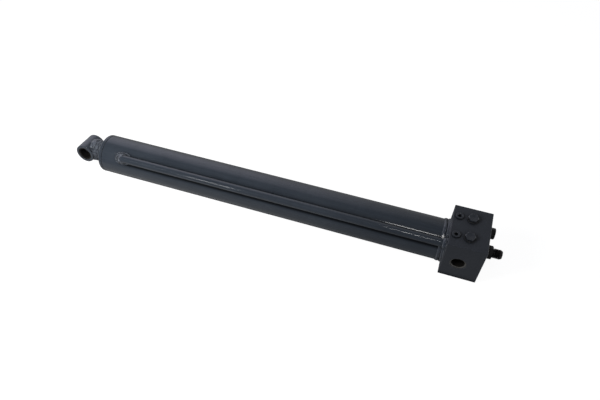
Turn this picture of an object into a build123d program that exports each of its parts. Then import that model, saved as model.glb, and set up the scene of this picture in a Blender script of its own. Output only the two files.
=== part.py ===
from build123d import *
import math
import os

# Double-acting two-stage telescopic hydraulic cylinder, retracted.
#
# A honed barrel is welded to a square base block, which holds the pivot bore and the load-holding valves.
# An intermediate sleeve slides in the barrel, and a rod with a cross-tube eye slides in the sleeve.
# A transfer tube along the barrel takes oil from the block to the head end.
#
# Frame, in millimetres: origin where the base pin's axis crosses the cylinder's axis, +X along the cylinder
# from the rod eye to the base block, +Z up through the valve face. The stages extend towards -X.

# Driving dimensions
BARREL_OD = 80.0
BARREL_BORE = 70.0
SLEEVE_OD = 60.0
SLEEVE_BORE = 50.0
ROD_DIA = 40.0
PIN_DIA = 25.0
BUSH_WALL = 2.5
HEAD_FACE_X = -768.0
BLOCK_FACE_X = -29.0
BLOCK_LENGTH = 71.0
BLOCK_SIDE = 96.0
BLOCK_Y = 2.5
BLOCK_Z = 2.0
EYE_X = -814.0
EYE_OD = 41.0
EYE_WIDTH = 46.5
EYE_TURN = 9.2
TUBE_OD = 16.0
TUBE_BORE = 11.0
TUBE_ANGLE = 44.0
ROW_SPACING = 44.0

# Radial clearance where a piece runs in another, clearance where it is seated, and how far a cutter
# passes the face that it opens
RUN = 0.15
SEAT = 0.05
PAST = 1.0

# Barrel and its gland
FLANGE = 8.0
EDGE = 2.5
JOINT_EDGE = 0.8
BARREL_END_X = HEAD_FACE_X + FLANGE
GLAND_THREAD_DIA = 73.0
GLAND_THREAD_END_X = -730.0
GLAND_NOSE_X = -708.0
GLAND_STOP_X = -692.0
GLAND_STOP_DIA = 66.4
GLAND_FEED_X = -697.0
GLAND_FEED_WIDTH = 5.0
GLAND_FEED_DIA = 3.0
SPANNER_RING = 71.4
SPANNER_HOLE = 3.0
SPANNER_DEPTH = 5.0
HEAD_PORT_X = -700.0
HEAD_PORT_DIA = 8.0
SPIGOT = 6.0

# Grooves as (start x, end x, floor diameter); a wiper's groove is open to the face
OPEN = 0.01
GLAND_GROOVES = {
    "wiper": (HEAD_FACE_X - OPEN, HEAD_FACE_X + 6.5, 66.5),
    "seal": (-753.0, -744.0, 68.0),
    "band": (-727.0, -713.0, 65.0),
    "feed": (GLAND_FEED_X - GLAND_FEED_WIDTH / 2, GLAND_FEED_X + GLAND_FEED_WIDTH / 2, 63.0),
}
GLAND_O_RING_GROOVE = (-738.0, -735.0, 68.4)
GLAND_O_RING_SECTION = 2.2
GLAND_WIPER_LIP = 2.5
SEAL_LIP = 3.0

# Transfer tube, and the saddle that carries its closed end over the head port
TUBE_RADIUS = BARREL_OD / 2 + TUBE_OD / 2 + 0.3
TUBE_Y = -TUBE_RADIUS * math.sin(math.radians(TUBE_ANGLE))
TUBE_Z = TUBE_RADIUS * math.cos(math.radians(TUBE_ANGLE))
TUBE_END_X = -709.0
TUBE_SOCKET = 6.0
TUBE_CAP = 4.0
TUBE_CAP_ROUND = 3.5
BOSS_X = -708.0
BOSS_LENGTH = 32.0
BOSS_WIDTH = 20.0
BOSS_ROOT = 30.0
BOSS_TOP_GAP = 0.5
BOSS_ROUND = 2.0
BOSS_WELD = 3.0

# Weld profiles as (distance from the face it is laid against, radius), from the toe inwards
BASE_WELD_TOE = 12.5
BASE_WELD_PASSES = ((11.0, 41.3), (9.3, 41.7), (7.5, 41.3), (5.5, 41.9), (3.0, 43.2), (0.0, 44.2))
TUBE_WELD_TOE = 9.0
TUBE_WELD_PASSES = ((7.0, 10.0), (0.0, 11.2))
EYE_WELD_START = 12.0
EYE_WELD_TOE = 30.0
EYE_WELD_PASSES = ((28.5, 21.35), (20.0, 21.95), (EYE_WELD_START, 23.05))

# Intermediate sleeve, its gland and its piston
SHOULDER_DIA = 64.0
SHOULDER_EDGE = 1.5
SHOULDER_X = HEAD_FACE_X - 5.0
SLEEVE_END_X = HEAD_FACE_X - 0.3
STAGE_THREAD_DIA = 53.0
STAGE_THREAD_END_X = -748.0
STAGE_NOSE_X = -728.0
STAGE_STOP_X = -712.0
STAGE_STOP_DIA = 46.8
STAGE_SPANNER_RING = 55.0
STAGE_SPANNER_DEPTH = 4.0
STAGE_GROOVES = {
    "wiper": (SHOULDER_X - OPEN, SHOULDER_X + 5, 47.5),
    "seal": (-763.0, -755.0, 48.0),
    "band": (-744.0, -734.0, 44.5),
}
STAGE_WIPER_LIP = 2.0
OIL_WAYS = 3
OIL_WAY = 2.5
OIL_WAY_INSET = 5.0
SLEEVE_RIGHT_X = -42.0
SLEEVE_PISTON_X = -86.0
SLEEVE_PISTON_SEAT = 56.0
SLEEVE_PISTON_GROOVES = {
    "seal": (-69.0, -59.0, 60.0),
    "head_band": (-83.0, -75.0, 65.5),
    "base_band": (-53.0, -45.0, 65.5),
}
STOP_RING_X = -61.0
STOP_RING = 2.5
STOP_RING_GROOVE_DIA = 53.0
STOP_RING_OD = 52.8
STOP_RING_ID = 45.0
STOP_RING_GAP = 8.0

# Rod, its piston and nut, and the eye
SADDLE_DEPTH = 5.0
ROD_PISTON_X = -95.0
ROD_PISTON_LENGTH = 32.5
ROD_PISTON_GROOVES = {
    "seal": (-83.0, -75.0, 40.0),
    "head_band": (-93.0, -87.0, 45.8),
    "base_band": (-71.0, -65.0, 45.8),
}
SPINDLE_DIA = 24.0
SPINDLE_GROOVE = (ROD_PISTON_X + 4, ROD_PISTON_X + 7, 20.0)
SPINDLE_O_RING_SECTION = 1.8
SPINDLE_EDGE = 1.0
NUT_ACROSS = 36.0
NUT_LENGTH = 17.0
ROD_RIGHT_X = -42.0
EYE_EDGE = 1.2
EYE_BUSH_INSET = 0.5

# Base block: pin bore, valve cavities and ports
BLOCK_EDGE = 1.0
BUSH_INSET = 1.0
PORT_DIA = 16.6
PORT_DEPTH = 13.0
PORT_SHANK = 11.0
PORT_Z = 24.5
CAP_X = 7.0
CAP_THREAD_DIA = 16.6
CAP_THREAD_DEPTH = 12.0
CAP_SHANK = 6.0
CAP_COLLAR_DIA = 18.8
CAP_COLLAR = 0.5
CAP_HEX = 17.0
CAP_HEX_HEIGHT = 5.0
SPRING_BORE = 9.0
SPRING_TOP_Z = 47.0
SEAT_Z = 33.0
SEAT_DIA = 6.0
PLUG_X = -17.7
PLUG_THREAD_DIA = 12.0
PLUG_DEPTH = 13.0
PLUG_SHANK = 11.0
PLUG_COLLAR_DIA = 15.0
PLUG_COLLAR = 3.0
PLUG_EDGE = 0.8
PLUG_SOCKET = 6.0
PLUG_SOCKET_DEPTH = 5.0
WASHER = 1.0
CAP_WASHER_DIA = 21.0
PORT_WASHER_DIA = 22.0
DRILLING = 6.0
CROSS_DRILLING = 4.0
CROSS_START_Z = 39.0
CROSS_END_Z = 34.0
REAR_WAY_END = (BLOCK_FACE_X - SPIGOT - PAST, 16.0, 18.0)
FRONT_WAY_END = (BLOCK_FACE_X + 5, TUBE_Y, TUBE_Z)

# Poppet and its spring
POPPET_BORE = 11.0
POPPET_CLEARANCE = 0.1
POPPET_TOP_Z = 41.0
POPPET_SKIRT_Z = SEAT_Z + 3.5
POPPET_CONE_Z = SEAT_Z + 2.5
POPPET_NOSE_Z = SEAT_Z - 1.1
POPPET_NOSE_RADIUS = 2.2
POPPET_BODY_RADIUS = 4.6
SPRING_POCKET = 4.0
SPRING_WIRE = 0.9
SPRING_RADIUS = 3.7
SPRING_TURNS = 5
SPRING_GAP = 0.05

# End-face fittings
PORT_HEX = 22.0
ADAPTER_HEX_LENGTH = 10.0
ADAPTER_NECK_DIA = 15.8
ADAPTER_NECK = 2.0
ADAPTER_THREAD_DIA = 18.0
ADAPTER_THREAD = 15.0
ADAPTER_EDGE_LENGTH = 2.5
ADAPTER_EDGE_DEPTH = 1.6
ADAPTER_BORE = 8.0
CONE_FOOT_DIA = 10.8
CONE_MOUTH_DIA = 13.8
CONE_DEPTH = 7.0
CONE_RUN_OUT = 2.0
END_PLUG_HEX = 19.0
END_PLUG_HEX_LENGTH = 10.0
HEX_CHAMFER_HEIGHT = 0.6
HEX_CHAMFER_DEPTH = 1.1

BLOCK_END_X = BLOCK_FACE_X + BLOCK_LENGTH
BLOCK_TOP_Z = BLOCK_Z + BLOCK_SIDE / 2
BUSH_OD = PIN_DIA + 2 * BUSH_WALL
ROWS = {"front": BLOCK_Y - ROW_SPACING / 2, "rear": BLOCK_Y + ROW_SPACING / 2}


def turned(points):
    """A solid turned about the X axis from an outline of (x, radius) points."""
    return revolve(make_face(Polyline(*points, close=True)), Axis.X)


def shaft(x0, x1, dia, y=0.0, z=0.0):
    """A plain round bar along X from x0 to x1."""
    plane = Plane(origin=(min(x0, x1), y, z), z_dir=(1, 0, 0))
    return extrude(plane * Circle(dia / 2), abs(x1 - x0))


def ring(x0, x1, outer, inner, y=0.0, z=0.0):
    """A plain ring along X from x0 to x1."""
    return shaft(x0, x1, outer, y, z) - shaft(x0 - PAST, x1 + PAST, inner, y, z)


def lipped_ring(x0, x1, outer, inner, lip):
    """A U-cup seal or wiper: a ring with a V-shaped mouth of depth lip at its x0 end."""
    middle = (outer + inner) / 4
    return turned([
        (x0, inner / 2), (x1, inner / 2), (x1, outer / 2), (x0, outer / 2), (x0 + lip, middle),
    ])


def o_ring(groove, section):
    """A round-section ring that lies on the floor of its groove."""
    x0, x1, floor = groove
    plane = Plane(origin=((x0 + x1) / 2, 0, 0), z_dir=(1, 0, 0))
    return plane * Torus(floor / 2 + SEAT + section / 2, section / 2)


def drill(start, end, dia):
    """A round drilling from one point to another."""
    start, end = Vector(*start), Vector(*end)
    return extrude(Plane(origin=start, z_dir=end - start) * Circle(dia / 2), (end - start).length)


def around(count, offset=0.0):
    """Unit (y, z) directions evenly spaced about the cylinder's axis."""
    angles = [math.radians(360 * i / count + offset) for i in range(count)]
    return [(math.sin(angle), math.cos(angle)) for angle in angles]


def hexagon(plane, across_flats, height):
    """A hexagonal prism whose top corners are chamfered as a nut's are."""
    corner = across_flats / math.sqrt(3)
    prism = extrude(plane * RegularPolygon(corner, 6), height)
    dome = plane * extrude(Circle(corner + OPEN), height)
    top = dome.edges().group_by(Axis(plane.origin, plane.z_dir))[-1]
    return prism & chamfer(top, HEX_CHAMFER_HEIGHT, HEX_CHAMFER_DEPTH)


# Barrel and transfer tube

def radial_point(x, radius):
    """A point at that radius in the transfer tube's direction."""
    angle = math.radians(TUBE_ANGLE)
    return (x, -radius * math.sin(angle), radius * math.cos(angle))


def head_port(outer_radius):
    """The drilling that joins the transfer tube to the space behind the barrel's gland."""
    inner_radius = BARREL_BORE / 2 - PAST
    start = radial_point(HEAD_PORT_X, inner_radius)
    return drill(start, radial_point(HEAD_PORT_X, outer_radius), HEAD_PORT_DIA)


def barrel_tube():
    body = ring(BARREL_END_X, BLOCK_FACE_X, BARREL_OD, BARREL_BORE)
    open_end = body.edges().filter_by(GeomType.CIRCLE).group_by(Axis.X)[0]
    body = chamfer(open_end.sort_by(SortBy.RADIUS)[-1], JOINT_EDGE)
    body -= shaft(BARREL_END_X - PAST, GLAND_THREAD_END_X, GLAND_THREAD_DIA + 2 * SEAT)
    return body - head_port(BARREL_OD / 2 + PAST)


def transfer_tube():
    """Tube with a rounded closed end, let into the block at the other."""
    x1 = BLOCK_FACE_X + TUBE_SOCKET
    tube = shaft(TUBE_END_X, x1, TUBE_OD, TUBE_Y, TUBE_Z)
    tube = fillet(tube.edges().sort_by(Axis.X)[0], TUBE_CAP_ROUND)
    tube -= shaft(TUBE_END_X + TUBE_CAP, x1 + PAST, TUBE_BORE, TUBE_Y, TUBE_Z)
    return tube - head_port(TUBE_RADIUS)


def boss_prism(grown, height):
    """A slot-shaped block standing out radially from under the tube's end."""
    plane = Plane(origin=radial_point(BOSS_X, BOSS_ROOT), x_dir=(1, 0, 0), z_dir=radial_point(0, 1))
    return extrude(plane * SlotOverall(BOSS_LENGTH + 2 * grown, BOSS_WIDTH + 2 * grown), height)


def boss_span(dia, y=0.0, z=0.0):
    """A bar along X that reaches past both ends of the saddle."""
    return shaft(BOSS_X - BOSS_LENGTH, BOSS_X + BOSS_LENGTH, dia, y, z)


def transfer_boss():
    """The saddle that joins the tube's closed end to the barrel over the head port."""
    boss = boss_prism(0, TUBE_RADIUS - BOSS_TOP_GAP - BOSS_ROOT)
    outwards = Axis((0, 0, 0), radial_point(0, 1))
    boss = fillet(boss.faces().sort_by(outwards)[-1].edges(), BOSS_ROUND)
    boss -= boss_span(BARREL_OD + 2 * SEAT)
    boss -= shaft(TUBE_END_X - SEAT, BOSS_X + BOSS_LENGTH, TUBE_OD + 2 * SEAT, TUBE_Y, TUBE_Z)
    return boss - head_port(TUBE_RADIUS + PAST)


def transfer_boss_weld():
    """Fillet weld along the foot of the saddle, on the barrel."""
    band = boss_span(BARREL_OD + 2 * BOSS_WELD) - boss_span(BARREL_OD + 2 * SEAT)
    band &= boss_prism(BOSS_WELD, BOSS_ROOT)
    return band - boss_prism(SEAT, BOSS_ROOT) - boss_span(TUBE_OD + 2 * SEAT, TUBE_Y, TUBE_Z)


def barrel_gland():
    """Screwed head of the barrel. Its nose stops the sleeve's piston clear of the head port."""
    nose, thread = BARREL_BORE / 2 - SEAT, GLAND_THREAD_DIA / 2
    bore, stop = SLEEVE_OD / 2 + RUN, GLAND_STOP_DIA / 2
    outer = BARREL_OD / 2
    gland = turned([
        (HEAD_FACE_X, bore), (HEAD_FACE_X, outer - EDGE), (HEAD_FACE_X + EDGE, outer),
        (BARREL_END_X - JOINT_EDGE, outer), (BARREL_END_X, outer - JOINT_EDGE), (BARREL_END_X, thread),
        (GLAND_THREAD_END_X, thread), (GLAND_THREAD_END_X, nose), (GLAND_NOSE_X, nose), (GLAND_NOSE_X, stop),
        (GLAND_STOP_X, stop), (GLAND_STOP_X, bore),
    ])
    for x0, x1, dia in GLAND_GROOVES.values():
        gland -= shaft(x0, x1, dia) - shaft(x0 - PAST, x1 + PAST, SLEEVE_OD)
    x0, x1, floor = GLAND_O_RING_GROOVE
    gland -= ring(x0, x1, GLAND_THREAD_DIA + PAST, floor)
    for y, z in around(4, 45):
        hole_y, hole_z = y * SPANNER_RING / 2, z * SPANNER_RING / 2
        gland -= shaft(HEAD_FACE_X - PAST, HEAD_FACE_X + SPANNER_DEPTH, SPANNER_HOLE, hole_y, hole_z)
        inner_end = (GLAND_FEED_X, y * bore, z * bore)
        gland -= drill(inner_end, (GLAND_FEED_X, y * outer, z * outer), GLAND_FEED_DIA)
    return gland


def bore_ring(groove, shaft_dia):
    """A wear band that fills a gland's groove and reaches the shaft that slides through it."""
    x0, x1, dia = groove
    return ring(x0 + SEAT, x1 - SEAT, dia - 2 * SEAT, shaft_dia + 2 * SEAT)


def bore_lip(groove, shaft_dia, lip):
    """A U-cup or wiper that fills a gland's groove."""
    x0, x1, dia = groove
    return lipped_ring(x0 + 2 * SEAT, x1 - SEAT, dia - 2 * SEAT, shaft_dia + 2 * SEAT, lip)


# Base block and what is screwed, pressed or welded to it

def cavity(x, y, bottom_z, dia):
    """A round hole down from the valve face."""
    return drill((x, y, BLOCK_TOP_Z + PAST), (x, y, bottom_z), dia)


def base_block():
    """Milled block with its pin bore, valve cavities, ports and the drillings that join them."""
    block = Pos(BLOCK_FACE_X + BLOCK_LENGTH / 2, BLOCK_Y, BLOCK_Z) * Box(BLOCK_LENGTH, BLOCK_SIDE, BLOCK_SIDE)
    block = chamfer(block.edges(), BLOCK_EDGE)
    block += shaft(BLOCK_FACE_X - SPIGOT, BLOCK_FACE_X + PAST, BARREL_BORE - 2 * SEAT)
    block -= drill((0, BLOCK_Y - BLOCK_SIDE, 0), (0, BLOCK_Y + BLOCK_SIDE, 0), BUSH_OD)
    socket_end = BLOCK_FACE_X + TUBE_SOCKET + SEAT
    block -= shaft(BLOCK_FACE_X - SEAT, socket_end, TUBE_OD + 2 * SEAT, TUBE_Y, TUBE_Z)
    for y in ROWS.values():
        block -= shaft(BLOCK_END_X - PORT_DEPTH, BLOCK_END_X + PAST, PORT_DIA, y, PORT_Z)
        block -= shaft(CAP_X, BLOCK_END_X, DRILLING, y, PORT_Z)
        block -= cavity(CAP_X, y, BLOCK_TOP_Z - CAP_THREAD_DEPTH, CAP_THREAD_DIA)
        block -= cavity(CAP_X, y, SEAT_Z, POPPET_BORE)
        block -= cavity(CAP_X, y, PORT_Z, SEAT_DIA)
        block -= cavity(PLUG_X, y, BLOCK_TOP_Z - PLUG_DEPTH, PLUG_THREAD_DIA)
        block -= drill((PLUG_X, y, CROSS_START_Z), (CAP_X, y, CROSS_END_Z), CROSS_DRILLING)
    block -= drill((PLUG_X, ROWS["front"], CROSS_START_Z), FRONT_WAY_END, DRILLING)
    block -= cavity(PLUG_X, ROWS["rear"], PORT_Z, DRILLING)
    return block - drill((PLUG_X, ROWS["rear"], PORT_Z), REAR_WAY_END, DRILLING)


def base_pin_bush():
    length = BLOCK_SIDE - 2 * BUSH_INSET
    plane = Plane(origin=(0, BLOCK_Y - length / 2, 0), z_dir=(0, 1, 0))
    return extrude(plane * (Circle(BUSH_OD / 2) - Circle(PIN_DIA / 2)), length)


def base_weld():
    """Two-pass fillet weld between the barrel and the block, open where the transfer tube passes."""
    foot, face = BARREL_OD / 2 + SEAT, BLOCK_FACE_X - SEAT
    toe = [(face, foot), (face - BASE_WELD_TOE, foot)]
    bead = turned(toe + [(face - distance, radius) for distance, radius in BASE_WELD_PASSES])
    return bead - shaft(face - BASE_WELD_TOE - PAST, face + PAST, TUBE_OD + 2 * SEAT, TUBE_Y, TUBE_Z)


def transfer_tube_weld():
    """Weld round the transfer tube where it enters the block."""
    foot, face = TUBE_OD / 2 + SEAT, BLOCK_FACE_X - SEAT
    toe = [(face, foot), (face - TUBE_WELD_TOE, foot)]
    cone = turned(toe + [(face - distance, radius) for distance, radius in TUBE_WELD_PASSES])
    cone = Pos(0, TUBE_Y, TUBE_Z) * cone
    return cone - shaft(face - TUBE_WELD_TOE - PAST, face + PAST, BARREL_OD + 2 * SEAT) - base_weld()


def valve_cap(y):
    """Hexagon cap that closes a load-holding valve and guides its spring."""
    seat = BLOCK_TOP_Z + WASHER
    shank_z = BLOCK_TOP_Z - CAP_SHANK
    cap = extrude(Plane(origin=(CAP_X, y, seat)) * Circle(CAP_COLLAR_DIA / 2), CAP_COLLAR)
    cap += hexagon(Plane(origin=(CAP_X, y, seat + CAP_COLLAR)), CAP_HEX, CAP_HEX_HEIGHT)
    cap += drill((CAP_X, y, seat + CAP_COLLAR / 2), (CAP_X, y, shank_z), CAP_THREAD_DIA - 2 * SEAT)
    return cap - drill((CAP_X, y, shank_z - PAST), (CAP_X, y, SPRING_TOP_Z), SPRING_BORE)


def flat_washer(plane, outer, inner):
    return extrude(plane * (Circle(outer / 2) - Circle(inner / 2)), WASHER)


def valve_cap_washers():
    planes = [Plane(origin=(CAP_X, y, BLOCK_TOP_Z)) for y in ROWS.values()]
    return Compound(children=[flat_washer(plane, CAP_WASHER_DIA, CAP_THREAD_DIA) for plane in planes])


def check_poppet(y):
    """Guided cone that rests over the inlet drilling, with a pocket for its spring."""
    guide = POPPET_BORE / 2 - POPPET_CLEARANCE
    pocket_z = POPPET_TOP_Z - SPRING_POCKET
    outline = Polyline(
        (0, POPPET_NOSE_Z), (POPPET_NOSE_RADIUS, POPPET_NOSE_Z), (POPPET_BODY_RADIUS, POPPET_CONE_Z),
        (POPPET_BODY_RADIUS, POPPET_SKIRT_Z), (guide, POPPET_SKIRT_Z), (guide, POPPET_TOP_Z),
        (POPPET_BODY_RADIUS, POPPET_TOP_Z), (POPPET_BODY_RADIUS, pocket_z), (0, pocket_z), close=True)
    cone = revolve(Plane.XZ * make_face(outline), Axis.Z)
    return Pos(CAP_X, y, 0) * cone


def poppet_spring(y):
    """Coil spring between the poppet's pocket and the cap's bore."""
    foot = POPPET_TOP_Z - SPRING_POCKET + SPRING_WIRE / 2 + SPRING_GAP
    rise = SPRING_TOP_Z - SPRING_WIRE / 2 - SPRING_GAP - foot
    path = Helix(pitch=rise / SPRING_TURNS, height=rise, radius=SPRING_RADIUS)
    spring = sweep(Plane(origin=path @ 0, z_dir=path % 0) * Circle(SPRING_WIRE / 2), path)
    return Pos(CAP_X, y, foot) * spring


def blanking_plug(y):
    """Collared plug with a hexagon socket."""
    plug = extrude(Plane(origin=(PLUG_X, y, BLOCK_TOP_Z)) * Circle(PLUG_COLLAR_DIA / 2), PLUG_COLLAR)
    plug = chamfer(plug.edges().sort_by(Axis.Z)[-1], PLUG_EDGE)
    shank_end = (PLUG_X, y, BLOCK_TOP_Z - PLUG_SHANK)
    plug += drill((PLUG_X, y, BLOCK_TOP_Z), shank_end, PLUG_THREAD_DIA - 2 * SEAT)
    floor = Plane(origin=(PLUG_X, y, BLOCK_TOP_Z + PLUG_COLLAR - PLUG_SOCKET_DEPTH))
    socket = RegularPolygon(PLUG_SOCKET / math.sqrt(3), 6)
    return plug - extrude(floor * socket, PLUG_SOCKET_DEPTH + PAST)


def end_plane(x, y):
    """A plane square to the cylinder, facing +X, on a port's axis."""
    return Plane(origin=(x, y, PORT_Z), z_dir=(1, 0, 0))


def port_washer(y):
    return flat_washer(end_plane(BLOCK_END_X, y), PORT_WASHER_DIA, PORT_DIA)


def hose_adapter():
    """Straight adapter: port thread, hexagon, then a hose thread with a 24 degree cone in its mouth."""
    y, seat = ROWS["front"], BLOCK_END_X + WASHER
    shank_x, hex_x = seat - PORT_SHANK, seat + ADAPTER_HEX_LENGTH
    thread_x = hex_x + ADAPTER_NECK
    mouth = thread_x + ADAPTER_THREAD
    port, neck, thread = PORT_DIA / 2 - SEAT, ADAPTER_NECK_DIA / 2, ADAPTER_THREAD_DIA / 2
    adapter = hexagon(end_plane(seat, y), PORT_HEX, ADAPTER_HEX_LENGTH)
    adapter += Pos(0, y, PORT_Z) * turned([
        (shank_x, 0), (shank_x, port), (seat + PAST, port), (seat + PAST, neck), (thread_x, neck),
        (thread_x, thread), (mouth - ADAPTER_EDGE_LENGTH, thread), (mouth, thread - ADAPTER_EDGE_DEPTH),
        (mouth, 0),
    ])
    bore, cone_x = ADAPTER_BORE / 2, mouth - CONE_DEPTH
    return adapter - Pos(0, y, PORT_Z) * turned([
        (shank_x - PAST, 0), (shank_x - PAST, bore), (cone_x - CONE_RUN_OUT, bore),
        (cone_x, CONE_FOOT_DIA / 2), (mouth, CONE_MOUTH_DIA / 2), (mouth + PAST, CONE_MOUTH_DIA / 2),
        (mouth + PAST, 0),
    ])


def end_port_plug():
    """Hexagon plug that closes the rear port."""
    y, seat = ROWS["rear"], BLOCK_END_X + WASHER
    plug = hexagon(end_plane(seat, y), END_PLUG_HEX, END_PLUG_HEX_LENGTH)
    return plug + shaft(seat - PORT_SHANK, seat + PAST, PORT_DIA - 2 * SEAT, y, PORT_Z)


# Intermediate stage

def sleeve_tube():
    """The sleeve, with oil ways in its wall from its piston's back to its gland."""
    sleeve = ring(SLEEVE_END_X, SLEEVE_RIGHT_X, SLEEVE_OD, SLEEVE_BORE)
    sleeve -= shaft(SLEEVE_END_X - PAST, STAGE_THREAD_END_X, STAGE_THREAD_DIA + 2 * SEAT)
    sleeve -= ring(SLEEVE_PISTON_X, SLEEVE_RIGHT_X + PAST, SLEEVE_OD + PAST, SLEEVE_PISTON_SEAT)
    sleeve -= shaft(STOP_RING_X, STOP_RING_X + STOP_RING, STOP_RING_GROOVE_DIA)
    outer, wall, inner = SLEEVE_OD / 2 + PAST, (SLEEVE_OD + SLEEVE_BORE) / 4, SLEEVE_BORE / 2 - PAST
    head, foot = STAGE_NOSE_X + OIL_WAY_INSET, SLEEVE_PISTON_X - OIL_WAY_INSET
    head_way, foot_way = head + PAST, foot - PAST
    for y, z in around(OIL_WAYS):
        sleeve -= shaft(head, foot, OIL_WAY, y * wall, z * wall)
        sleeve -= drill((foot_way, y * wall, z * wall), (foot_way, y * outer, z * outer), OIL_WAY)
        sleeve -= drill((head_way, y * wall, z * wall), (head_way, y * inner, z * inner), OIL_WAY)
    return sleeve


def stage_gland():
    """Head of the sleeve. Its shoulder stops the sleeve against the barrel's head."""
    bore, thread, nose = ROD_DIA / 2 + RUN, STAGE_THREAD_DIA / 2, SLEEVE_BORE / 2 - SEAT
    shoulder, stop = SHOULDER_DIA / 2, STAGE_STOP_DIA / 2
    gland = turned([
        (SHOULDER_X, bore), (SHOULDER_X, shoulder - SHOULDER_EDGE), (SHOULDER_X + SHOULDER_EDGE, shoulder),
        (SLEEVE_END_X, shoulder), (SLEEVE_END_X, thread), (STAGE_THREAD_END_X, thread),
        (STAGE_THREAD_END_X, nose), (STAGE_NOSE_X, nose), (STAGE_NOSE_X, stop), (STAGE_STOP_X, stop),
        (STAGE_STOP_X, bore),
    ])
    for x0, x1, dia in STAGE_GROOVES.values():
        gland -= shaft(x0, x1, dia) - shaft(x0 - PAST, x1 + PAST, ROD_DIA)
    for y in (-STAGE_SPANNER_RING / 2, STAGE_SPANNER_RING / 2):
        gland -= shaft(SHOULDER_X - PAST, SHOULDER_X + STAGE_SPANNER_DEPTH, SPANNER_HOLE, y, 0)
    return gland


def piston(x0, x1, bore_dia, seat_dia, grooves):
    """A plain piston with a groove for each of its rings."""
    body = ring(x0, x1, bore_dia - 2 * RUN, seat_dia + 2 * SEAT)
    for groove_x0, groove_x1, floor in grooves.values():
        body -= ring(groove_x0, groove_x1, bore_dia + PAST, floor)
    return body


def groove_ring(groove, bore):
    """A seal or band that fills a piston's groove and reaches the bore it slides in."""
    x0, x1, dia = groove
    return ring(x0 + SEAT, x1 - SEAT, bore - 2 * SEAT, dia + 2 * SEAT)


def wear_rings(grooves, bore):
    """The two bands of a piston."""
    return Compound(children=[groove_ring(grooves[name], bore) for name in ("head_band", "base_band")])


def sleeve_stop_ring():
    """Split ring that stops the rod's piston clear of the sleeve's end."""
    clip = ring(STOP_RING_X + SEAT, STOP_RING_X + STOP_RING - SEAT, STOP_RING_OD, STOP_RING_ID)
    return clip - Pos(STOP_RING_X, 0, -STOP_RING_OD / 2) * Box(4 * STOP_RING, STOP_RING_GAP, STOP_RING_OD / 4)


# Rod

def eye_plane():
    """The plane through the eye's centre, square to its bore, facing the front."""
    turn = math.radians(EYE_TURN)
    return Plane(origin=(EYE_X, 0, 0), x_dir=(1, 0, 0), z_dir=(0, -math.cos(turn), math.sin(turn)))


def eye_bar(dia, width):
    """A bar along the eye's bore, centred on the eye."""
    return extrude(eye_plane() * Circle(dia / 2), width / 2, both=True)


def rod():
    """Ground rod with a spindle for its piston. Its outer end is saddled to the eye."""
    bar = shaft(EYE_X + SADDLE_DEPTH, ROD_PISTON_X, ROD_DIA)
    bar += shaft(ROD_PISTON_X, ROD_RIGHT_X, SPINDLE_DIA)
    bar -= eye_bar(EYE_OD + 2 * SEAT, EYE_WIDTH + ROD_DIA)
    x0, x1, floor = SPINDLE_GROOVE
    bar -= ring(x0, x1, SPINDLE_DIA + PAST, floor)
    return chamfer(bar.edges().filter_by(GeomType.CIRCLE).sort_by(Axis.X)[-1], SPINDLE_EDGE)


def rod_lock_nut():
    """Nut that holds the rod's piston on its spindle."""
    x0 = ROD_PISTON_X + ROD_PISTON_LENGTH
    nut = hexagon(Plane(origin=(x0, 0, 0), z_dir=(1, 0, 0)), NUT_ACROSS, NUT_LENGTH)
    return nut - shaft(x0 - PAST, x0 + NUT_LENGTH + PAST, SPINDLE_DIA + 2 * SEAT)


def eye_tube():
    tube = chamfer(eye_bar(EYE_OD, EYE_WIDTH).edges().filter_by(GeomType.CIRCLE), EYE_EDGE)
    return tube - eye_bar(BUSH_OD, EYE_WIDTH + PAST)


def eye_bush():
    return eye_bar(BUSH_OD, EYE_WIDTH - 2 * EYE_BUSH_INSET) - eye_bar(PIN_DIA, EYE_WIDTH + PAST)


def eye_weld():
    """Weld round the joint of the rod and the eye."""
    foot = ROD_DIA / 2 + SEAT
    toe = [(EYE_X + EYE_WELD_START, foot), (EYE_X + EYE_WELD_TOE, foot)]
    bead = turned(toe + [(EYE_X + distance, radius) for distance, radius in EYE_WELD_PASSES])
    return bead - eye_bar(EYE_OD + 2 * SEAT, EYE_WIDTH + ROD_DIA)


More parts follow.
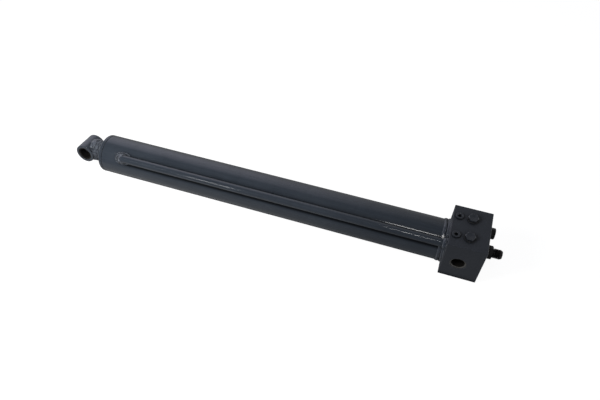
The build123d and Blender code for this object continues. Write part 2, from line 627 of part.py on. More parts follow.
def main():
    rod_piston_end = ROD_PISTON_X + ROD_PISTON_LENGTH
    parts = {
        "barrel_tube": barrel_tube(),
        "barrel_gland": barrel_gland(),
        "gland_wiper": bore_lip(GLAND_GROOVES["wiper"], SLEEVE_OD, GLAND_WIPER_LIP),
        "gland_sleeve_seal": bore_lip(GLAND_GROOVES["seal"], SLEEVE_OD, SEAL_LIP),
        "gland_wear_band": bore_ring(GLAND_GROOVES["band"], SLEEVE_OD),
        "gland_o_ring": o_ring(GLAND_O_RING_GROOVE, GLAND_O_RING_SECTION),
        "transfer_tube": transfer_tube(),
        "transfer_boss": transfer_boss(),
        "transfer_boss_weld": transfer_boss_weld(),
        "transfer_tube_weld": transfer_tube_weld(),
        "base_block": base_block(),
        "base_pin_bush": base_pin_bush(),
        "base_weld": base_weld(),
        "valve_cap_washers": valve_cap_washers(),
        "hose_adapter": hose_adapter(),
        "adapter_washer": port_washer(ROWS["front"]),
        "end_port_plug": end_port_plug(),
        "end_plug_washer": port_washer(ROWS["rear"]),
        "sleeve_tube": sleeve_tube(),
        "sleeve_piston": piston(SLEEVE_PISTON_X, SLEEVE_RIGHT_X, BARREL_BORE, SLEEVE_PISTON_SEAT,
                                SLEEVE_PISTON_GROOVES),
        "sleeve_piston_seal": groove_ring(SLEEVE_PISTON_GROOVES["seal"], BARREL_BORE),
        "sleeve_wear_rings": wear_rings(SLEEVE_PISTON_GROOVES, BARREL_BORE),
        "sleeve_stop_ring": sleeve_stop_ring(),
        "stage_gland": stage_gland(),
        "stage_wiper": bore_lip(STAGE_GROOVES["wiper"], ROD_DIA, STAGE_WIPER_LIP),
        "stage_rod_seal": bore_lip(STAGE_GROOVES["seal"], ROD_DIA, SEAL_LIP),
        "stage_wear_band": bore_ring(STAGE_GROOVES["band"], ROD_DIA),
        "rod": rod(),
        "rod_piston": piston(ROD_PISTON_X, rod_piston_end, SLEEVE_BORE, SPINDLE_DIA, ROD_PISTON_GROOVES),
        "rod_piston_seal": groove_ring(ROD_PISTON_GROOVES["seal"], SLEEVE_BORE),
        "rod_wear_rings": wear_rings(ROD_PISTON_GROOVES, SLEEVE_BORE),
        "piston_o_ring": o_ring(SPINDLE_GROOVE, SPINDLE_O_RING_SECTION),
        "rod_lock_nut": rod_lock_nut(),
        "eye_tube": eye_tube(),
        "eye_bush": eye_bush(),
        "eye_weld": eye_weld(),
    }
    for row, y in ROWS.items():
        parts[f"valve_cap_{row}"] = valve_cap(y)
        parts[f"check_poppet_{row}"] = check_poppet(y)
        parts[f"poppet_spring_{row}"] = poppet_spring(y)
        parts[f"blanking_plug_{row}"] = blanking_plug(y)
    os.makedirs("parts", exist_ok=True)
    for name, shape in parts.items():
        export_step(shape, f"parts/{name}.step")


main()
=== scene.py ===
import math

import bmesh
import bpy
from mathutils import Matrix, Vector, noise


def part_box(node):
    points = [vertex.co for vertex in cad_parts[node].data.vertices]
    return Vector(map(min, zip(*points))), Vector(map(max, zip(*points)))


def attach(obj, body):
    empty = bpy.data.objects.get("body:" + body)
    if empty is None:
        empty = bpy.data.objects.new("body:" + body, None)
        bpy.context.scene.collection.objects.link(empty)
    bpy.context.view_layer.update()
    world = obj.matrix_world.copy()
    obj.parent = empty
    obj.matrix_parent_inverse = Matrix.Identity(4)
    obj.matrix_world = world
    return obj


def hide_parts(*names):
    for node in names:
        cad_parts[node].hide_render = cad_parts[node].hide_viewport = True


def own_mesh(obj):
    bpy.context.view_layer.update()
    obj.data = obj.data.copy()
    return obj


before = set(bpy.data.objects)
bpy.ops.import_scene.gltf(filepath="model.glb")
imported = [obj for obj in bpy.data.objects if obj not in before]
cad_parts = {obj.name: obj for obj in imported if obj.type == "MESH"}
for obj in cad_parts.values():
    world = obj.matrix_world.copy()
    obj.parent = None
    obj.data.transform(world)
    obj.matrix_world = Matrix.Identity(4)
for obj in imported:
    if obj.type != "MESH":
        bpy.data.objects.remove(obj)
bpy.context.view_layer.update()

# Looks of a painted two-stage telescopic cylinder. Shapes are worked out in millimetres in the row
# frame and written to the meshes in metres.

MM = 0.001
TURN = 2 * math.pi
SMOOTH_LIMIT = math.radians(33)


def box_mm(node):
    low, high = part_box(node)
    return low / MM, high / MM


# Sizes read from the frame

barrel_low, barrel_high = box_mm("barrel_tube")
gland_low, gland_high = box_mm("barrel_gland")
tube_low, tube_high = box_mm("transfer_tube")
block_low, block_high = box_mm("base_block")
block_bush_low, block_bush_high = box_mm("base_pin_bush")
eye_low, eye_high = box_mm("eye_tube")
rod_high = box_mm("rod")[1]
sleeve_low, sleeve_high = box_mm("sleeve_tube")
stage_low, stage_high = box_mm("stage_gland")

BARREL_R = barrel_high.z
BARREL_BORE_R = 35.0
BLOCK_FACE = box_mm("base_weld")[1].x + 0.05
TUBE_R = (tube_high.z - tube_low.z) / 2
TUBE_Y = (tube_low.y + tube_high.y) / 2
TUBE_Z = (tube_low.z + tube_high.z) / 2
TUBE_ANGLE = math.atan2(-TUBE_Y, TUBE_Z)
EYE = (eye_low + eye_high) / 2
EYE_R = 20.5
EYE_WIDTH = 46.5
EYE_TURN = math.radians(9.2)
EYE_AXIS = Vector((0, -math.cos(EYE_TURN), math.sin(EYE_TURN)))
BUSH_R = 15.0
PIN_R = 12.5
SLEEVE_R = 30.0
ROD_R = 20.0

# Inner sizes, which no box shows: where the two glands sit in their tubes, and their bores
GLAND_SEAT_X, GLAND_SEAT_R = -730.0, 36.5
GLAND_SPIGOT_X, GLAND_SPIGOT_R = -708.0, 34.95
GLAND_LIP_R, GLAND_BORE_R = 33.2, 30.2
STAGE_SEAT_X, STAGE_SEAT_R = -748.0, 26.5
STAGE_SPIGOT_X, STAGE_SPIGOT_R = -728.0, 24.95
STAGE_HEAD_R, STAGE_LIP_R, STAGE_BORE_R = 32.0, 23.4, 20.2
SLEEVE_BORE_R, SLEEVE_TAIL_X, SLEEVE_TAIL_R = 25.0, -86.0, 28.0
ROD_TAIL_X, ROD_TAIL_R = -95.0, 12.0
TUBE_BORE_R, TUBE_CAP = 5.5, 4.0
PORT_R, THREAD_R = 8.3, 8.2

# The band of painted shade in the crease below the transfer tube, as distances round the barrel from the
# tube's middle line
CREASE_START, CREASE_FULL, CREASE_FADE, CREASE_END = 3.0, 7.0, 12.0, 16.0


# Mesh building

def placed(origin, along, up=(0, 0, 1)):
    """Matrix that takes local Z to a direction and local X as near as it can to another."""
    z = Vector(along).normalized()
    x = Vector(up) - Vector(up).dot(z) * z
    if x.length < 1e-6:
        x = Vector((1, 0, 0)) - z.x * z
    x.normalize()
    matrix = Matrix((x, z.cross(x), z)).transposed().to_4x4()
    matrix.translation = Vector(origin)
    return matrix


ALONG_X = placed((0, 0, 0), (1, 0, 0))


def circle(height, radius, count=96):
    return [Vector((radius * math.cos(TURN * i / count), radius * math.sin(TURN * i / count), height))
            for i in range(count)]


def rounded(outline, radius, steps=4, closed=True):
    """The outline with its corners turned into arcs. A (height, radius) corner may carry an arc size too."""
    points, count = [], len(outline)
    for i, corner in enumerate(outline):
        here = Vector(corner[:2])
        size = corner[2] if len(corner) > 2 else radius
        if size == 0 or (not closed and i in (0, count - 1)):
            points.append(here)
            continue
        before = Vector(outline[i - 1][:2]) - here
        after = Vector(outline[(i + 1) % count][:2]) - here
        half = before.angle(after) / 2
        reach = min(size / math.tan(half), 0.48 * before.length, 0.48 * after.length)
        start, end = here + before.normalized() * reach, here + after.normalized() * reach
        for step in range(steps + 1):
            t = step / steps
            points.append(start * (1 - t) ** 2 + here * 2 * t * (1 - t) + end * t * t)
    return points


def shade(mesh):
    """Merges doubled points and leaves sharp only the edges that turn more than the limit."""
    bm = bmesh.new()
    bm.from_mesh(mesh)
    bmesh.ops.remove_doubles(bm, verts=bm.verts, dist=2e-7)
    bmesh.ops.recalc_face_normals(bm, faces=bm.faces)
    for face in bm.faces:
        face.smooth = True
    for edge in bm.edges:
        edge.smooth = len(edge.link_faces) == 2 and edge.calc_face_angle(0) < SMOOTH_LIMIT
    bm.to_mesh(mesh)
    bm.free()


def loft(name, rings, matrix=ALONG_X, closed=True, tones=None):
    """A mesh through rings of points. A closed one joins its last ring to its first; others are capped."""
    mesh = bpy.data.meshes.new(name)
    count = len(rings[0])
    points = [matrix @ p * MM for ring in rings for p in ring]
    faces, slots = [], []
    for r in range(len(rings) if closed else len(rings) - 1):
        a, b = r * count, (r + 1) % len(rings) * count
        for i in range(count):
            j = (i + 1) % count
            faces.append((a + i, a + j, b + j, b + i))
            slots.append(tones[r] if tones else 0)
    if not closed:
        faces.append(tuple(range(count - 1, -1, -1)))
        faces.append(tuple(range((len(rings) - 1) * count, len(rings) * count)))
        slots += [slots[0], slots[-1]]
    mesh.from_pydata(points, [], faces)
    mesh.polygons.foreach_set("material_index", slots)
    shade(mesh)
    piece = bpy.data.objects.new(name, mesh)
    bpy.context.scene.collection.objects.link(piece)
    return piece


def lathe(name, outline, matrix=ALONG_X, count=160, fillet=0.4, closed=True, tone=None):
    """A turned piece. tone gives the material number at a (height, radius) point of the outline."""
    points = rounded(outline, fillet, closed=closed)
    rings = [circle(p.x, p.y, count) for p in points]
    tones = None
    if tone:
        middles = [(p + points[(i + 1) % len(points)]) / 2 for i, p in enumerate(points)]
        tones = [tone(m.x, m.y) for m in middles]
    return loft(name, rings, matrix, closed, tones)


def hexagon(height, across, count=96, corner=0.5):
    """Ring of a hexagon with slightly rounded corners."""
    ring, half = [], across / 2
    centre = (half - corner) * 2 / math.sqrt(3)
    limit = TURN / 12 - math.atan((half - corner) * math.tan(TURN / 12) / half)
    for i in range(count):
        angle = TURN * i / count
        off_corner = (angle + TURN / 12) % (TURN / 6) - TURN / 12
        if abs(off_corner) < limit:
            side = centre * math.sin(off_corner)
            radius = centre * math.cos(off_corner) + math.sqrt(corner ** 2 - side ** 2)
        else:
            radius = half / math.cos(TURN / 12 - abs(off_corner))
        ring.append(Vector((radius * math.cos(angle), radius * math.sin(angle), height)))
    return ring


def hex_rings(bottom, top, across):
    """Rings of a hexagon bar whose top corners are turned down at thirty degrees, as a nut's are."""
    face, slope = across / 2 * 0.95, math.tan(math.radians(30))
    inside = face * 0.97
    turned_down = hexagon(0, across)
    for p in turned_down:
        p.z = top - max(0.0, (Vector((p.x, p.y)).length - face) * slope)
    crown = [circle(top, face), circle(top, inside)]
    return [circle(bottom, inside), hexagon(bottom, across), turned_down] + crown


def object_of(mesh, name):
    piece = bpy.data.objects.new(name, mesh)
    bpy.context.scene.collection.objects.link(piece)
    return piece


def joined(name, pieces):
    """One mesh made of several, keeping the first one's materials."""
    bm = bmesh.new()
    for piece in pieces:
        bm.from_mesh(piece.data)
        bpy.data.objects.remove(piece)
    mesh = bpy.data.meshes.new(name)
    bm.to_mesh(mesh)
    bm.free()
    return object_of(mesh, name)


def cut(piece, cutters):
    """Takes the cutters out of a piece and removes them."""
    for cutter in cutters:
        modifier = piece.modifiers.new("cut", "BOOLEAN")
        modifier.operation, modifier.solver, modifier.object = "DIFFERENCE", "EXACT", cutter
    evaluated = piece.evaluated_get(bpy.context.evaluated_depsgraph_get())
    mesh = bpy.data.meshes.new_from_object(evaluated)
    piece.modifiers.clear()
    piece.data = mesh
    for cutter in cutters:
        bpy.data.objects.remove(cutter)
    shade(mesh)


def weigh(piece):
    """Keeps long and flat faces true beside their rounded edges."""
    modifier = piece.modifiers.new("normals", "WEIGHTED_NORMAL")
    modifier.keep_sharp = True
    modifier.weight = 80


def done(piece, body, nodes, materials):
    """Gives a finished piece its weighted normals, its materials and its body, and hides the nodes it stands
    for.
    """
    weigh(piece)
    for material in materials:
        piece.data.materials.append(material)
    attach(piece, body)
    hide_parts(*nodes)
    return piece


# Materials

class Finish:
    """A material built up node by node, with textures laid out in the row frame."""

    def __init__(self, name, **sockets):
        self.material = bpy.data.materials.new(name)
        self.material.use_nodes = True
        self.tree = self.material.node_tree
        self.surface = self.tree.nodes["Principled BSDF"]
        for socket, value in sockets.items():
            self.surface.inputs[socket.replace("_", " ")].default_value = value
        self.place = self.node("TexCoord").outputs["Object"]
        self.normal = None

    def node(self, kind, links=(), **settings):
        made = self.tree.nodes.new("ShaderNode" + kind)
        for name, value in settings.items():
            setattr(made, name, value)
        for socket, value in dict(links).items():
            if isinstance(value, bpy.types.NodeSocket):
                self.tree.links.new(value, made.inputs[socket])
            else:
                made.inputs[socket].default_value = value
        return made

    def noise(self, scale, detail=3.0, roughness=0.5, stretch=(1, 1, 1)):
        place = self.node("Mapping", {"Vector": self.place, "Scale": stretch}).outputs["Vector"]
        links = {"Vector": place, "Scale": scale, "Detail": detail, "Roughness": roughness}
        return self.node("TexNoise", links).outputs["Fac"]

    def spread(self, value, low, high, to_low=0.0, to_high=1.0):
        links = {"Value": value, "From Min": low, "From Max": high, "To Min": to_low, "To Max": to_high}
        return self.node("MapRange", links).outputs["Result"]

    def math(self, operation, a, b):
        return self.node("Math", {0: a, 1: b}, operation=operation).outputs[0]

    def mix(self, factor, a, b):
        made = self.node("Mix", {0: factor}, data_type="RGBA")
        for index, value in ((6, a), (7, b)):
            if isinstance(value, bpy.types.NodeSocket):
                self.tree.links.new(value, made.inputs[index])
            else:
                made.inputs[index].default_value = (*value, 1)
        return made.outputs[2]

    def edges(self, radius, low=0.90, high=0.995):
        """1 along edges and corners, 0 on open surface."""
        soft = self.node("Bevel", {"Radius": radius}, samples=4).outputs["Normal"]
        hard = self.node("NewGeometry").outputs["Normal"]
        alike = self.node("VectorMath", {0: soft, 1: hard}, operation="DOT_PRODUCT").outputs["Value"]
        return self.spread(alike, low, high, 1, 0)

    def crevice(self, reach):
        """1 in corners and creases, where neighbouring surfaces come near and shade falls, and 0 in the open:
        the mask for painted shade.
        """
        open_sky = self.node("AmbientOcclusion", {"Distance": reach}, samples=6).outputs["AO"]
        return self.spread(open_sky, 0.45, 0.94, 1, 0)

    def under_tube(self):
        """1 in the crease below the transfer tube, the band that takes painted shade."""
        across = (0, -math.cos(TUBE_ANGLE), -math.sin(TUBE_ANGLE))
        aside = self.node("VectorMath", {0: self.place, 1: across}, operation="DOT_PRODUCT").outputs["Value"]
        radial = self.node("VectorMath", {0: self.place, 1: (0, 1, 1)}, operation="MULTIPLY").outputs[0]
        standing = self.node("VectorMath", {0: radial}, operation="LENGTH").outputs["Value"]
        along = self.node("SeparateXYZ", {"Vector": self.place}).outputs["X"]
        crease = self.math("MULTIPLY", self.spread(aside, CREASE_START * MM, CREASE_FULL * MM),
                           self.spread(aside, CREASE_FADE * MM, CREASE_END * MM, 1, 0))
        low_down = self.spread(standing, (BARREL_R + 0.3) * MM, (BARREL_R + 6.0) * MM, 1, 0)
        crease = self.math("MULTIPLY", crease, low_down)
        return self.math("MULTIPLY", crease, self.spread(along, tube_low.x * MM, (tube_low.x + 4.0) * MM))

    def bump(self, height, depth, strength=1.0):
        links = {"Height": height, "Distance": depth, "Strength": strength}
        if self.normal:
            links["Normal"] = self.normal
        self.normal = self.node("Bump", links).outputs["Normal"]

    def give(self, socket, value):
        self.tree.links.new(value, self.surface.inputs[socket])

    def end(self, colour, roughness):
        self.give("Base Color", colour)
        self.give("Roughness", roughness)
        if self.normal:
            self.give("Normal", self.normal)
        return self.material


def enamel(name, deep, pale, rough=(0.40, 0.55), gloss=0.09, peel=1.0, wear=0.5, grain=(1, 1, 1), marks=0.0,
           crease=False):
    """Slate-blue machinery enamel over primer: orange peel, faint streaks, dust and rubbed edges, with
    painted shade in its creases, and below the transfer tube when crease is set.
    """
    f = Finish(name, Coat_Weight=1.0, Coat_Roughness=gloss, Coat_IOR=1.47, Specular_IOR_Level=0.12)
    broad = f.noise(9, 4)
    cloud = f.noise(70, 5, 0.6)
    streak = f.noise(260, 3, 0.55, grain)
    colour = f.mix(f.spread(broad, 0.35, 0.65), deep, pale)
    colour = f.mix(f.math("MULTIPLY", f.spread(streak, 0.45, 0.75), 0.30), colour, [c * 1.35 for c in pale])
    colour = f.mix(f.math("MULTIPLY", f.spread(cloud, 0.52, 0.72), 0.22), colour, [c * 0.62 for c in deep])
    rubbed = f.math("MULTIPLY", f.edges(0.0007), f.spread(f.noise(420, 4, 0.7), 0.42, 0.62))
    colour = f.mix(f.math("MULTIPLY", rubbed, wear), colour, (0.13, 0.125, 0.12))
    rough_here = f.math("ADD", f.spread(cloud, 0.3, 0.7, *rough), f.math("MULTIPLY", rubbed, 0.2))
    # Painted shade: colour and coat darken where surfaces close in, and in the crease below the transfer tube
    # when crease is set.
    crease_shade = f.crevice(0.014)
    if crease:
        crease_shade = f.math("MAXIMUM", crease_shade, f.under_tube())
    colour = f.mix(f.math("MULTIPLY", crease_shade, 0.92), colour, [c * 0.12 for c in deep])
    f.give("Coat Weight", f.spread(crease_shade, 0, 0.8, 1.0, 0.08))
    f.bump(f.noise(30, 2), 0.00006, 0.30 * peel)
    f.bump(f.noise(620, 2), 0.000008, 0.8 * peel)
    if marks:
        f.bump(f.noise(900, 2, 0.6, (1, 0.03, 0.03)), 0.00003, marks)
    if f.normal:
        f.give("Coat Normal", f.normal)
    return f.end(colour, rough_here)


def weld_enamel(name, deep, pale):
    """The same enamel over a weld, with painted shade darkening its valleys and scale and spatter showing
    through.
    """
    f = Finish(name, Coat_Weight=1.0, Coat_Roughness=0.09, Coat_IOR=1.50, Specular_IOR_Level=0.15)
    cloud = f.noise(120, 5, 0.65)
    colour = f.mix(f.spread(cloud, 0.35, 0.65), deep, pale)
    crest = f.math("MULTIPLY", f.edges(0.0012, 0.86, 0.99), f.spread(f.noise(300, 3), 0.4, 0.6))
    colour = f.mix(f.math("MULTIPLY", crest, 0.35), colour, (0.11, 0.115, 0.125))
    # Painted shade: colour and coat darken in the weld's valleys.
    crease_shade = f.crevice(0.006)
    colour = f.mix(f.math("MULTIPLY", crease_shade, 0.85), colour, [c * 0.15 for c in deep])
    f.give("Coat Weight", f.spread(crease_shade, 0, 0.9, 1.0, 0.1))
    f.bump(f.noise(170, 3, 0.6), 0.0011, 0.8)
    f.bump(f.noise(900, 3, 0.6), 0.00006, 0.6)
    f.give("Coat Normal", f.normal)
    return f.end(colour, f.spread(cloud, 0.3, 0.7, 0.22, 0.38))


def black_zinc(name, tint=(0.005, 0.005, 0.006)):
    """Blackened steel fitting: nearly black, with worn corners and a brown tinge."""
    f = Finish(name, Metallic=0.12, IOR=1.45, Specular_IOR_Level=0.25)
    cloud = f.noise(150, 4, 0.6)
    colour = f.mix(f.spread(cloud, 0.35, 0.7), tint, (0.011, 0.0095, 0.0085))
    rubbed = f.math("MULTIPLY", f.edges(0.0004), f.spread(f.noise(700, 4, 0.7), 0.4, 0.6))
    colour = f.mix(f.math("MULTIPLY", rubbed, 0.5), colour, (0.10, 0.095, 0.09))
    f.bump(f.noise(1400, 3), 0.00002, 0.7)
    return f.end(colour, f.spread(cloud, 0.3, 0.7, 0.30, 0.46))


def hard_chrome(name):
    """Ground and polished chrome, with the fine rings that grinding leaves."""
    f = Finish(name, Metallic=1.0)
    rings = f.noise(2600, 3, 0.6, (1, 0.02, 0.02))
    haze = f.noise(30, 4, 0.6)
    colour = f.mix(f.spread(haze, 0.35, 0.65), (0.60, 0.61, 0.62), (0.70, 0.70, 0.69))
    scratch = f.spread(f.noise(900, 2, 0.5, (0.02, 1, 1)), 0.66, 0.74)
    colour = f.mix(f.math("MULTIPLY", scratch, 0.25), colour, (0.42, 0.42, 0.42))
    f.bump(rings, 0.0000016, 0.8)
    return f.end(colour, f.spread(haze, 0.3, 0.7, 0.07, 0.15))


def machined(name, bright, dark, rough=(0.24, 0.42), cut_scale=2200, cut_depth=0.000004, metal=1.0):
    """Turned or honed metal: fine tool marks round the axis, oil film in patches."""
    f = Finish(name, Metallic=metal)
    tool = f.noise(cut_scale, 3, 0.6, (1, 0.03, 0.03))
    film = f.noise(85, 5, 0.6)
    colour = f.mix(f.spread(film, 0.35, 0.68), bright, dark)
    colour = f.mix(f.math("MULTIPLY", f.edges(0.0004), 0.4), colour, [min(1.0, c * 1.5) for c in bright])
    f.bump(tool, cut_depth, 0.9)
    f.bump(f.noise(500, 3), 0.00001, 0.4)
    return f.end(colour, f.spread(film, 0.3, 0.7, *rough))


def moulded(name, base, shade_to, rough=(0.38, 0.55), grain=1500, sheen=0.0):
    """Moulded seal material: matt, slightly mottled, paler along its lips."""
    f = Finish(name, IOR=1.5, Sheen_Weight=sheen)
    cloud = f.noise(220, 4, 0.6)
    colour = f.mix(f.spread(cloud, 0.35, 0.65), base, shade_to)
    colour = f.mix(f.math("MULTIPLY", f.edges(0.0003), 0.3), colour, [min(1.0, c * 1.6) for c in base])
    f.bump(f.noise(grain, 2), 0.000012, 0.7)
    return f.end(colour, f.spread(cloud, 0.3, 0.7, *rough))


PAINT_DEEP, PAINT_PALE = (0.0235, 0.0290, 0.0375), (0.0300, 0.0365, 0.0465)
cylinder_paint = enamel("cylinder_enamel", PAINT_DEEP, PAINT_PALE, peel=0.35, grain=(0.06, 1, 1), crease=True)
block_paint = enamel("block_enamel", (0.0205, 0.0235, 0.0300), (0.0260, 0.0295, 0.0370), rough=(0.45, 0.60),
                     gloss=0.16, peel=0.8, wear=0.7, grain=(1, 0.25, 1), marks=0.5)
weld_paint = weld_enamel("weld_enamel", (0.026, 0.031, 0.041), (0.040, 0.047, 0.060))
thin_weld_paint = weld_enamel("thin_weld_enamel", (0.026, 0.030, 0.038), (0.085, 0.096, 0.115))
black_fitting = black_zinc("black_zinc")
washer_steel = machined("washer_steel", (0.045, 0.045, 0.048), (0.022, 0.022, 0.024), (0.4, 0.55), metal=0.5)
chrome = hard_chrome("hard_chrome")
steel = machined("machined_steel", (0.42, 0.41, 0.39), (0.26, 0.25, 0.23))
iron = machined("piston_iron", (0.22, 0.215, 0.21), (0.13, 0.125, 0.12), (0.34, 0.52))
bush_steel = machined("bush_steel", (0.095, 0.092, 0.088), (0.055, 0.053, 0.050), (0.40, 0.58), metal=0.25)
greased_steel = machined("greased_steel", (0.022, 0.020, 0.018), (0.010, 0.009, 0.008), (0.45, 0.65),
                         metal=0.4)
# Bores of the bushes: oiled steel, darkened nearly to black as painted shade inside the holes.
oiled_shaded_bore = machined("oiled_shaded_bore", (0.010, 0.009, 0.008), (0.005, 0.0045, 0.004), (0.5, 0.7), metal=0.2)
spring_steel = machined("spring_steel", (0.36, 0.36, 0.37), (0.22, 0.22, 0.23), (0.22, 0.34))
polyurethane = moulded("polyurethane", (0.020, 0.060, 0.160), (0.030, 0.085, 0.200), (0.28, 0.42))
wear_band = moulded("wear_band", (0.16, 0.045, 0.016), (0.10, 0.030, 0.012), (0.45, 0.62))
ptfe = moulded("piston_ptfe", (0.13, 0.085, 0.050), (0.09, 0.060, 0.036), (0.36, 0.5))
nitrile = moulded("nitrile", (0.012, 0.012, 0.013), (0.020, 0.020, 0.021), (0.42, 0.58), sheen=0.1)

KEPT = {
    "polyurethane": (polyurethane, ["gland_wiper", "gland_sleeve_seal", "stage_wiper", "stage_rod_seal"]),
    "wear_band": (wear_band, ["gland_wear_band", "stage_wear_band", "sleeve_wear_rings", "rod_wear_rings"]),
    "piston_ptfe": (ptfe, ["sleeve_piston_seal", "rod_piston_seal"]),
    "nitrile": (nitrile, ["gland_o_ring", "piston_o_ring"]),
    "piston_iron": (iron, ["sleeve_piston", "rod_piston"]),
    "spring_steel": (spring_steel, ["sleeve_stop_ring"]),
    "machined_steel": (steel, ["check_poppet_front", "check_poppet_rear", "rod_lock_nut"]),
}
for material, nodes in KEPT.values():
    for node in nodes:
        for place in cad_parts[node].material_slots:
            place.material = material


# Barrel, its gland, and the transfer tube

JOINT_X = barrel_low.x
JOINT_WIDTH, JOINT_DEPTH = 0.9, 1.0
BIG_COUNT = 256


def painted_outside(limit):
    """Paint on the outside of a turned piece and bare metal within that radius."""
    return lambda height, radius: 0 if radius > limit else 1


barrel = lathe("barrel_shell", [
    (JOINT_X, GLAND_SEAT_R + 0.1, 0.3), (JOINT_X, BARREL_R - JOINT_DEPTH, 0.2),
    (JOINT_X + JOINT_WIDTH, BARREL_R, 0.5), (BLOCK_FACE - 0.05, BARREL_R, 0.2),
    (BLOCK_FACE - 0.05, BARREL_BORE_R, 0.2), (GLAND_SEAT_X + 1.0, BARREL_BORE_R, 0.2),
    (GLAND_SEAT_X, GLAND_SEAT_R + 0.05, 0.2),
], count=BIG_COUNT, tone=painted_outside(GLAND_SEAT_R + 1.0))
done(barrel, "barrel", ["barrel_tube"], [cylinder_paint, steel])

WIPER_X = gland_low.x + 6.5
gland = lathe("gland_head", [
    (WIPER_X, GLAND_BORE_R, 0.2), (WIPER_X, GLAND_LIP_R, 0), (gland_low.x, GLAND_LIP_R + 0.1, 0.3),
    (gland_low.x, BARREL_R, 2.8), (JOINT_X - JOINT_WIDTH, BARREL_R, 0.5),
    (JOINT_X, BARREL_R - JOINT_DEPTH, 0.2), (JOINT_X, GLAND_SEAT_R, 0.2), (GLAND_SEAT_X, GLAND_SEAT_R, 0.2),
    (GLAND_SEAT_X, GLAND_SPIGOT_R, 0.2), (GLAND_SPIGOT_X, GLAND_SPIGOT_R, 0.3),
    (GLAND_SPIGOT_X, GLAND_LIP_R, 0.2), (gland_high.x, GLAND_LIP_R, 0.5), (gland_high.x, GLAND_BORE_R, 0.5),
], count=BIG_COUNT, tone=painted_outside(GLAND_LIP_R + 0.3))


SPANNER_HOLE_R = 1.5


def spanner_hole(face, depth, y, z):
    """A cutter for one of the holes that a pin spanner turns a gland by."""
    outline = [(face - 1, SPANNER_HOLE_R), (face + depth, SPANNER_HOLE_R)]
    return lathe("spanner_hole", outline, placed((0, y, z), (1, 0, 0)), 24, 0, False)


GLAND_HOLES_R = 35.7
HOLE_ANGLES = [TURN * (k + 0.5) / 4 for k in range(4)]
cut(gland, [spanner_hole(gland_low.x, 5, GLAND_HOLES_R * math.sin(a), GLAND_HOLES_R * math.cos(a))
            for a in HOLE_ANGLES])
done(gland, "barrel", ["barrel_gland"], [cylinder_paint, steel])

TUBE_AXIS = placed((0, TUBE_Y, TUBE_Z), (1, 0, 0))
TIP = tube_low.x
tube = lathe("transfer_line", [
    (TIP, 0.3, 0), (TIP, TUBE_R, 7.6), (tube_high.x, TUBE_R, 0.2), (tube_high.x, TUBE_BORE_R, 0.2),
    (TIP + TUBE_CAP, TUBE_BORE_R, 1), (TIP + TUBE_CAP, 0.3, 0),
], TUBE_AXIS, 96)
done(tube, "barrel", ["transfer_tube"], [cylinder_paint])


# Welds

def bead(offset, half_width, height):
    """Cross-section of a weld bead: how far it stands out at an offset from its middle."""
    return height * math.sqrt(max(0.0, 1 - (offset / half_width) ** 2))


def ripple(run, across, pitch, bow, wander=0.0):
    """The overlapping crescents of a weld, 0 to 1, at a distance along the run and an offset across it."""
    loose = noise.noise(Vector((run * 0.11, across * 0.1, wander))) * pitch * 0.9
    phase = ((run + loose + bow * across * across) / pitch) % 1
    return (1 - phase) ** 0.6 * min(1.0, phase * 6)


def lumps(run, across, size, seed):
    return noise.noise(Vector((run / size, across / size, seed)))


def round_weld(name, base, beads, heights, matrix, count, pitch, swell=0.35, flat=None):
    """A weld run round a bar, where beads are (middle, half width, height). flat is a spot dressed with a
    grinder, as (height, angle, distance from the axis, half length, half width, slope). It takes the second
    material."""
    def off_flat(height, angle):
        along = abs(height - flat[0]) / flat[3]
        across = abs((angle - flat[1] + math.pi) % TURN - math.pi) * base / flat[4]
        return (along ** 4 + across ** 4) ** 0.25

    rings = []
    for height in heights:
        ring = []
        for i in range(count):
            angle = TURN * i / count
            run = angle * base
            drift = 0.45 * math.sin(3 * angle + 1) + 0.35 * math.sin(7 * angle + 2.2)
            radius = base
            for middle, half_width, top in beads:
                offset = height - middle - drift * 0.7
                body = bead(offset, half_width, top * (1 + 0.10 * math.sin(5 * angle + middle)))
                scale = ripple(run, offset, pitch, 0.09, middle)
                radius = max(radius, base - 0.3 + body * (1 + 0.18 * lumps(run, offset, 6, middle)) + 0.3
                             + (scale - 0.5) * swell * min(1.0, body))
            if flat:
                level = (flat[2] - (height - flat[0]) * flat[5]) / math.cos(angle - flat[1])
                radius += (level - radius) * min(1.0, max(0.0, (1.35 - off_flat(height, angle)) / 0.35))
            ring.append(Vector((radius * math.cos(angle), radius * math.sin(angle), height)))
        rings.append(ring)
    rings.append(circle(heights[-1], base - 1.5, count))
    rings.insert(0, circle(heights[0], base - 1.5, count))
    piece = loft(name, rings, matrix)
    if flat:
        for face in piece.data.polygons:
            middle = matrix.inverted() @ (face.center / MM)
            if off_flat(middle.z, math.atan2(middle.y, middle.x)) < 1.0:
                face.material_index = 1
    return piece


def steps(start, end, count):
    return [start + (end - start) * i / count for i in range(count + 1)]


WELD_X = BLOCK_FACE
BASE_BEADS = [(WELD_X - 9.0, 3.4, 1.6), (WELD_X - 1.8, 3.9, 2.2), (WELD_X + 0.6, 3.0, 3.6)]
TUBE_BEADS = [(WELD_X - 2.6, 5.4, 2.6), (WELD_X + 0.6, 3.6, 3.1)]
DRESSED_ANGLE = math.radians(30.6)
DRESSED_SLOPE = math.tan(math.radians(-2.1))
base_weld = round_weld(
    "base_weld_beads", BARREL_R, BASE_BEADS, steps(WELD_X - 12.9, WELD_X - 0.05, 43), ALONG_X, 720, 2.3,
    flat=(WELD_X - 9.2, DRESSED_ANGLE, BARREL_R + 1.3, 2.4, 3.6, DRESSED_SLOPE))
done(base_weld, "barrel", ["base_weld"], [weld_paint, cylinder_paint])

